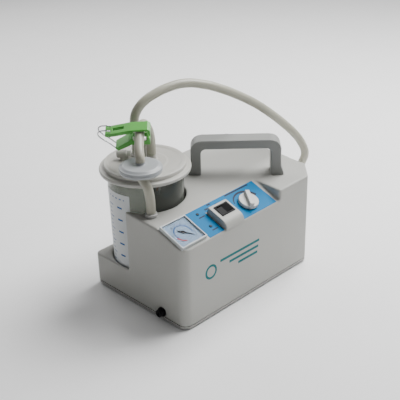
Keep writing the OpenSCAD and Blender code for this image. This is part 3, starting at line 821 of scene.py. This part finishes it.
@dataclass
class Case:
    """The moulded case with its handle, label and small fittings."""

    places: Places
    label_face: float = 0.45
    front_face: float = -93.92
    lamp_u: float = -74.7
    lamp_vs: Flat = (-10.6, -36.9)
    port: Flat = (-124.0, -15.0)

    def shell(self) -> None:
        """Builds the housing and the handle with moulded edges."""
        softened("upper_housing", "housing_shell", Body.CASE, HOUSING, 0.0014, 9)
        softened("carry_handle", "handle_moulding", Body.CASE, HANDLE, 0.0009, 10)

    def graphics(self) -> None:
        """Prints the marks on the label and a plain line device on the front."""
        flat = self.on_label
        steps = 48
        sweep = arc(21.6, 158, 14, steps, (7.0, -31.3))
        widths = [1.5 + 4.2 * (k / steps) ** 1.2 for k in range(steps + 1)]
        strip("regulator_wedge", Body.CASE, PRINT_DARK, flat, sweep, widths)
        strip("heading_bar", Body.CASE, PRINT_DARK, flat, [(-15, -4.0), (33, -4.0)], [2.6, 2.6])
        for letter, u, v in (("a", -56.5, -9.5), ("b", -47.5, -4.2), ("c", -36.0, -9.5)):
            strip(f"switch_mark_{letter}", Body.CASE, PRINT_DARK, flat, [(u - 3.4, v), (u + 3.4, v)], [2.6, 2.6])
        for letter, v in zip("ab", self.lamp_vs):
            strip(f"lamp_mark_{letter}", Body.CASE, PRINT_DARK, flat, [(-78, v - 7.0), (-67, v - 7.0)], [2.0, 2.0])
        lines = (("long", -33.0, 84.0, 40.0), ("mid", -25.0, 75.0, 30.0), ("short", -17.0, 66.0, 20.0))
        for size, x, z, half in lines:
            line = [(x - half, z), (x + half, z)]
            strip(f"front_line_{size}", Body.CASE, PRINT_TEAL, self.on_front, line, [4.0, 4.0])
        ring = arc(9.5, 0, 360, steps, (-91.0, 75.0))
        strip("front_ring", Body.CASE, PRINT_TEAL, self.on_front, ring, [3.4] * len(ring))

    def on_label(self, u: float, v: float, w: float) -> Vector:
        """A point on the label's face."""
        return self.places.panel(u, v, self.label_face + w)

    def on_front(self, x: float, z: float, off: float) -> Vector:
        """A point on the front face."""
        return self.places.at(x, self.front_face - off, z)

    def fittings(self) -> None:
        """Builds the lamps, the port's ring and the fuse cap."""
        for letter, v in zip("ab", self.lamp_vs):
            lens = lathe(
                f"lamp_{letter}", Body.CASE, LAMP, lambda x, y, z, v=v: self.places.panel(self.lamp_u + x, v + y, z),
                [(0, 0.5, 0), (2.4, 0.5, 0), (2.4, 1.0, 0.3), (1.9, 1.4, 0.4), (0, 1.4, 0)], 32)
            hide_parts("indicator_lamps")
        ring = lathe(
            "port_ring", Body.CASE, WHITE, lambda x, y, z: self.places.at(self.port[0] + x, self.port[1] + y, z),
            [(2.6, 127, 0), (4.5, 127, 0.2), (4.5, 145.6, 0), (8.6, 145.6, 0.2), (8.6, 149.9, 1.2),
             (2.6, 149.9, 0.3)], 64)
        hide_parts("vacuum_port")
        softened("fuse_cap", "fuse_cap_moulding", Body.FUSE_CAP, BLACK, 0.0003, 3)

    def build(self) -> None:
        """Builds everything on the case."""
        self.shell()
        self.graphics()
        self.fittings()


@dataclass
class Gauge:
    """The square vacuum gauge."""

    places: Places
    u: float = -117.0
    v: float = -26.5
    dial_face: float = 2.21

    def face(self, x: float, y: float, z: float) -> Vector:
        """A point on the dial."""
        return self.places.panel(self.u + x, self.v + y, self.dial_face + z)

    def build(self) -> None:
        """Builds the bezel, the printed dial and the needle."""
        softened("gauge_case", "gauge_bezel", Body.CASE, BEZEL, 0.0004, 4)
        blue, red = arc(13.0, -20, 200, 60), arc(14.6, 195, 250, 24)
        strip("dial_arc_blue", Body.CASE, PRINT_BLUE, self.face, blue, [1.7] * len(blue), 0.1)
        strip("dial_arc_red", Body.CASE, PRINT_RED, self.face, red, [2.1] * len(red), 0.1)
        for k in range(11):
            angle = math.radians(-45 + 27 * k)
            inner, outer = (15.2, 18.4) if k % 2 == 0 else (15.8, 17.6)
            tick = [(r * math.cos(angle), r * math.sin(angle)) for r in (inner, outer)]
            strip(f"dial_tick_{k:02d}", Body.CASE, PRINT_DARK, self.face, tick, [0.9, 0.9], 0.1)
        softened("gauge_needle", "needle_blade", Body.NEEDLE, BLACK, 0.00016, 1)


@dataclass
class Controls:
    """The mains switch and the vacuum regulator's knob."""

    places: Places

    def build(self) -> None:
        """Builds the switch's box, its frame and rocker, and the knob."""
        softened("switch_boss", "switch_box", Body.CASE, HOUSING, 0.0006, 7)
        softened("switch_body", "switch_frame", Body.CASE, BLACK, 0.0004, 3)
        softened("power_rocker", "rocker_moulding", Body.ROCKER, BLACK, 0.00025, 3)
        softened("regulator_knob", "knob_moulding", Body.KNOB, WHITE, 0.0005, 5)


# ---------------------------------------------------------------- jar and lid


@dataclass
class Jar:
    """The clear graduated jar."""

    places: Places
    x: float = -85.0
    y: float = 37.5
    foot: float = 12.3
    rim: float = 189.0
    foot_r: float = 51.5
    taper: float = 2.5
    scale_turn: float = -188.0
    scale_r: float = 53.0
    film_face: float = 0.15

    def at(self, x: float, y: float, z: float) -> Vector:
        """A point about the jar's axis."""
        return self.places.at(self.x + x, self.y + y, z)

    def radius(self, z: float) -> float:
        """The jar's outer radius at a height."""
        return self.foot_r + self.taper * min((z - self.foot) / (self.rim - self.foot - 6), 1.0)

    def on_wall(self, angle: float, z: float, off: float) -> Vector:
        """Places something on the jar's wall.

        Args:
            angle: Millimetres of arc from the scale's middle.
            z: Height in millimetres.
            off: Millimetres off the wall.

        Returns:
            The point in the row frame.
        """
        turn = math.radians(self.scale_turn) + angle / self.scale_r
        r = self.radius(z) + off
        return self.at(r * math.cos(turn), r * math.sin(turn), z)

    def on_film(self, angle: float, z: float, off: float) -> Vector:
        """A point off the printed panel on the wall."""
        return self.on_wall(angle, z, self.film_face + off)

    def build(self) -> None:
        """Builds the jar and its printed scale."""
        jar = lathe("jar_body", Body.JAR, JAR, self.at, [
            (0, self.foot + 1.5, 0), (44, self.foot + 1.5, 1.5), (46, self.foot + 0.1, 0.5),
            (51.4, self.foot + 0.1, 4), (53.9, self.rim - 6, 0.5), (53.9, self.rim - 0.1, 0.8),
            (51.7, self.rim - 0.1, 0.8), (51.5, self.rim - 6, 0.3), (49.2, self.foot + 4, 6),
            (0, self.foot + 4, 0)], 128)
        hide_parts("suction_jar")
        film = self.film()
        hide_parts("jar_scale")
        self.mark("scale_heading", -10.0, 20.0, 159.0, 1.6)
        for k in range(19):
            z = 30 + 6.4 * k
            long = k % 3 == 0
            self.mark(f"scale_mark_{k:02d}", -14.0, -4.0 if long else -8.0, z, 1.1 if long else 0.8)
            if long:
                self.mark(f"scale_figure_{k:02d}", 6.0, 15.0, z, 2.6)

    def film(self) -> bpy.types.Object:
        """Builds the pale printed panel behind the marks.

        Returns:
            The panel.
        """
        across, up = 24, 20
        verts = [
            self.on_wall(-26.5 + 55 * i / across, 25 + 142 * j / up, off)
            for off in (0.05, 0.14)
            for j in range(up + 1)
            for i in range(across + 1)
        ]
        layer = (across + 1) * (up + 1)
        faces: list[tuple[int, ...]] = []
        for j in range(up):
            for i in range(across):
                a = j * (across + 1) + i
                b = a + across + 1
                faces += [(a, b, b + 1, a + 1), (layer + a, layer + a + 1, layer + b + 1, layer + b)]
        rim = list(range(across + 1)) + [(j + 1) * (across + 1) - 1 for j in range(1, up + 1)]
        rim += [up * (across + 1) + i for i in range(across - 1, -1, -1)]
        rim += [j * (across + 1) for j in range(up - 1, 0, -1)]
        for k, a in enumerate(rim):
            b = rim[(k + 1) % len(rim)]
            faces.append((a, b, layer + b, layer + a))
        return make("scale_film", Body.JAR, verts, faces, SCALE_FILM)

    def mark(self, name: str, start: float, end: float, z: float, height: float) -> None:
        """Prints one mark that follows the jar's wall.

        Args:
            name: The mark's name.
            start: Where it starts, in millimetres of arc.
            end: Where it ends.
            z: Its height on the jar.
            height: How thick its line is.
        """
        line = [(start + (end - start) * k / 4, z) for k in range(5)]
        strip(name, Body.JAR, PRINT_BLUE, self.on_film, line, [height] * len(line), 0.08)


@dataclass
class Lid:
    """The jar's lid with its fittings, the filter, the float and the pinch clamp."""

    places: Places
    jar: Jar
    clamp_tilt: float = 18.0
    inlet: Flat = (-80.0, 60.0)
    outlet: Flat = (-76.0, 33.0)
    fitting: Flat = (-100.0, 64.0)
    filter_axis: Flat = (-131.5, -7.4)
    clamp: Vector = field(default_factory=lambda: Vector((-104.0, 22.5, 251.5)))

    def about(self, x: float, y: float) -> Placing:
        """A placing function about an upright axis."""
        return lambda a, b, c: self.places.at(x + a, y + b, c)

    def cap(self) -> None:
        """Builds the lid's disc with its stepped rim."""
        lid = lathe("lid_cap", Body.LID, LID, self.jar.at, [
            (0, 197.9, 0), (30, 197.6, 1), (33, 196.6, 1), (49, 196.6, 2), (52, 197.9, 1), (57.9, 197.9, 1.8),
            (57.4, 191.6, 0.8), (64.3, 191.3, 1.8), (64.3, 186.1, 1.6), (61, 186.1, 0.8), (60, 188.6, 0.6),
            (54.4, 188.6, 0.3), (54.4, 191.2, 0.2), (51.2, 191.2, 0.4), (51.2, 195.4, 1.5), (0, 195.4, 0)], 160)
        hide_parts("jar_lid")
        for name, axis in (("inlet_collar", self.inlet), ("outlet_collar", self.outlet)):
            collar = lathe(name, Body.LID, LID, self.about(*axis), [
                (3, 196, 0), (9, 196, 0.3), (9, 199.2, 0.8), (6.5, 200, 0.6), (6.5, 205.8, 0.7), (3, 205.8, 0.4)], 48)
        port = lathe("air_port", Body.LID, LID, self.about(-75, 48.5), [
            (0, 197, 0), (4.2, 197, 0.2), (4.2, 212, 0.4), (3.7, 213, 0.4), (4.2, 214, 0.4), (4.2, 221.6, 0.6),
            (3, 223.8, 0.8), (0, 223.8, 0)], 40)
        self.elbow()

    def fitting_at(self, a: float, b: float, c: float) -> Vector:
        """A point about the side fitting's lying axis, c along it."""
        turn = math.sqrt(0.5)
        return self.places.at(self.fitting[0] + turn * (a + c), self.fitting[1] + turn * (a - c), 205 + b)

    def elbow(self) -> None:
        """Builds the stubby side fitting that lies along the lid."""
        body = lathe("side_fitting", Body.LID, LID, self.fitting_at, [
            (0, -10.4, 0), (4.6, -10.4, 1), (5.6, -8.5, 1), (5.6, 3.6, 0.5), (4.4, 4.2, 0.4), (4.4, 9.6, 0.6),
            (2.8, 10.4, 0.4), (0, 10.4, 0)], 48)
        foot = lathe("side_fitting_foot", Body.LID, LID, self.about(*self.fitting), [
            (0, 197, 0), (6, 197, 0.3), (6, 199, 0.5), (4.8, 201.9, 0.8), (0, 201.9, 0)], 48)

    def filter(self) -> None:
        """Builds the two halves of the disc filter."""
        about = self.about(*self.filter_axis)
        base = lathe("filter_lower", Body.LID, FILTER, about, [
            (2.5, 207.1, 0.3), (6.4, 207.1, 0.6), (6.4, 211.4, 0.8), (12, 212.1, 0.6), (28.0, 212.3, 1.6),
            (28.9, 214.2, 1), (28.9, 216.9, 0.4), (25, 216.9, 0.2), (25, 214.2, 0.5), (2.5, 214.2, 0.2)], 112)
        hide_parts("filter_base")
        cover = lathe("filter_upper", Body.LID, FILTER, about, [
            (24.2, 217.05, 0.2), (28.9, 217.05, 0.4), (28.9, 219.7, 1.2), (27.0, 220.2, 0.6), (23.6, 222.6, 1.4),
            (9, 222.9, 1.0), (6.4, 223.4, 0.5), (6.4, 225.8, 0.7), (2.5, 225.8, 0.3), (2.5, 220.6, 0.3),
            (20, 220.6, 0.8), (24.2, 219.2, 0.5)], 112)
        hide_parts("filter_cover")

    def float_valve(self) -> None:
        """Builds the float."""
        ball = lathe("float_body", Body.FLOAT, ORANGE, self.about(*self.outlet), [
            (0, 148.3, 0), (7.5, 148.3, 1.2), (7.5, 159, 1.4), (2.1, 164, 1), (0, 164, 0)], 48)
        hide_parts("float_ball")

    def pinch(self) -> None:
        """Builds the pinch clamp and its spring."""
        softened("clamp_base", "clamp_lower", Body.LID, GREEN, 0.0004, 4)
        softened("clamp_lever", "clamp_upper", Body.CLAMP, GREEN, 0.0004, 4)
        bend = [(-38, 5.6), (-47, 7), (-54, 5), (-55.6, 0), (-52, -6), (-42, -15), (-34, -23.4)]
        for name, y in (("clamp_wire_front", -5.0), ("clamp_wire_back", 5.0)):
            wire = tube(name, [self.clamp_point(a, y, b) for a, b in bend], 0.0009, WIRE)
            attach(wire, Body.LID.value)
            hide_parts("clamp_spring")

    def clamp_point(self, a: float, b: float, c: float) -> Vector:
        """Places something in the clamp's own tilted frame.

        Args:
            a: Millimetres along its jaws.
            b: Millimetres along its pivot.
            c: Millimetres up.

        Returns:
            The point in the row frame.
        """
        tilt, turn = math.radians(self.clamp_tilt), math.sqrt(0.5)
        side = math.cos(tilt) * b - math.sin(tilt) * c
        rise = math.sin(tilt) * b + math.cos(tilt) * c
        return self.places.at(self.clamp.x + turn * (a + side), self.clamp.y + turn * (side - a), self.clamp.z + rise)

    def build(self) -> None:
        """Builds everything on the lid."""
        self.cap()
        self.filter()
        self.float_valve()
        self.pinch()


def dress_cad() -> None:
    """Gives each CAD node that stays its finish."""
    for node, finish in CAD_FINISH.items():
        PAINT.dress(frame["nodes"][node], finish)
        log.info("%s: %s", node, finish.name)


def main() -> None:
    """Builds the studio, the hoses and every sub-assembly in order."""
    logging.basicConfig(level=logging.INFO, format="%(name)s: %(message)s")
    places = Places.from_frame()
    studio = Studio(places)
    studio.camera()
    Hoses(places).build()
    jar = Jar(places)
    Case(places).build()
    Gauge(places).build()
    Controls(places).build()
    jar.build()
    Lid(places, jar).build()
    dress_cad()
    studio.light()
    studio.floor()


if __name__ == "__main__":
    main()
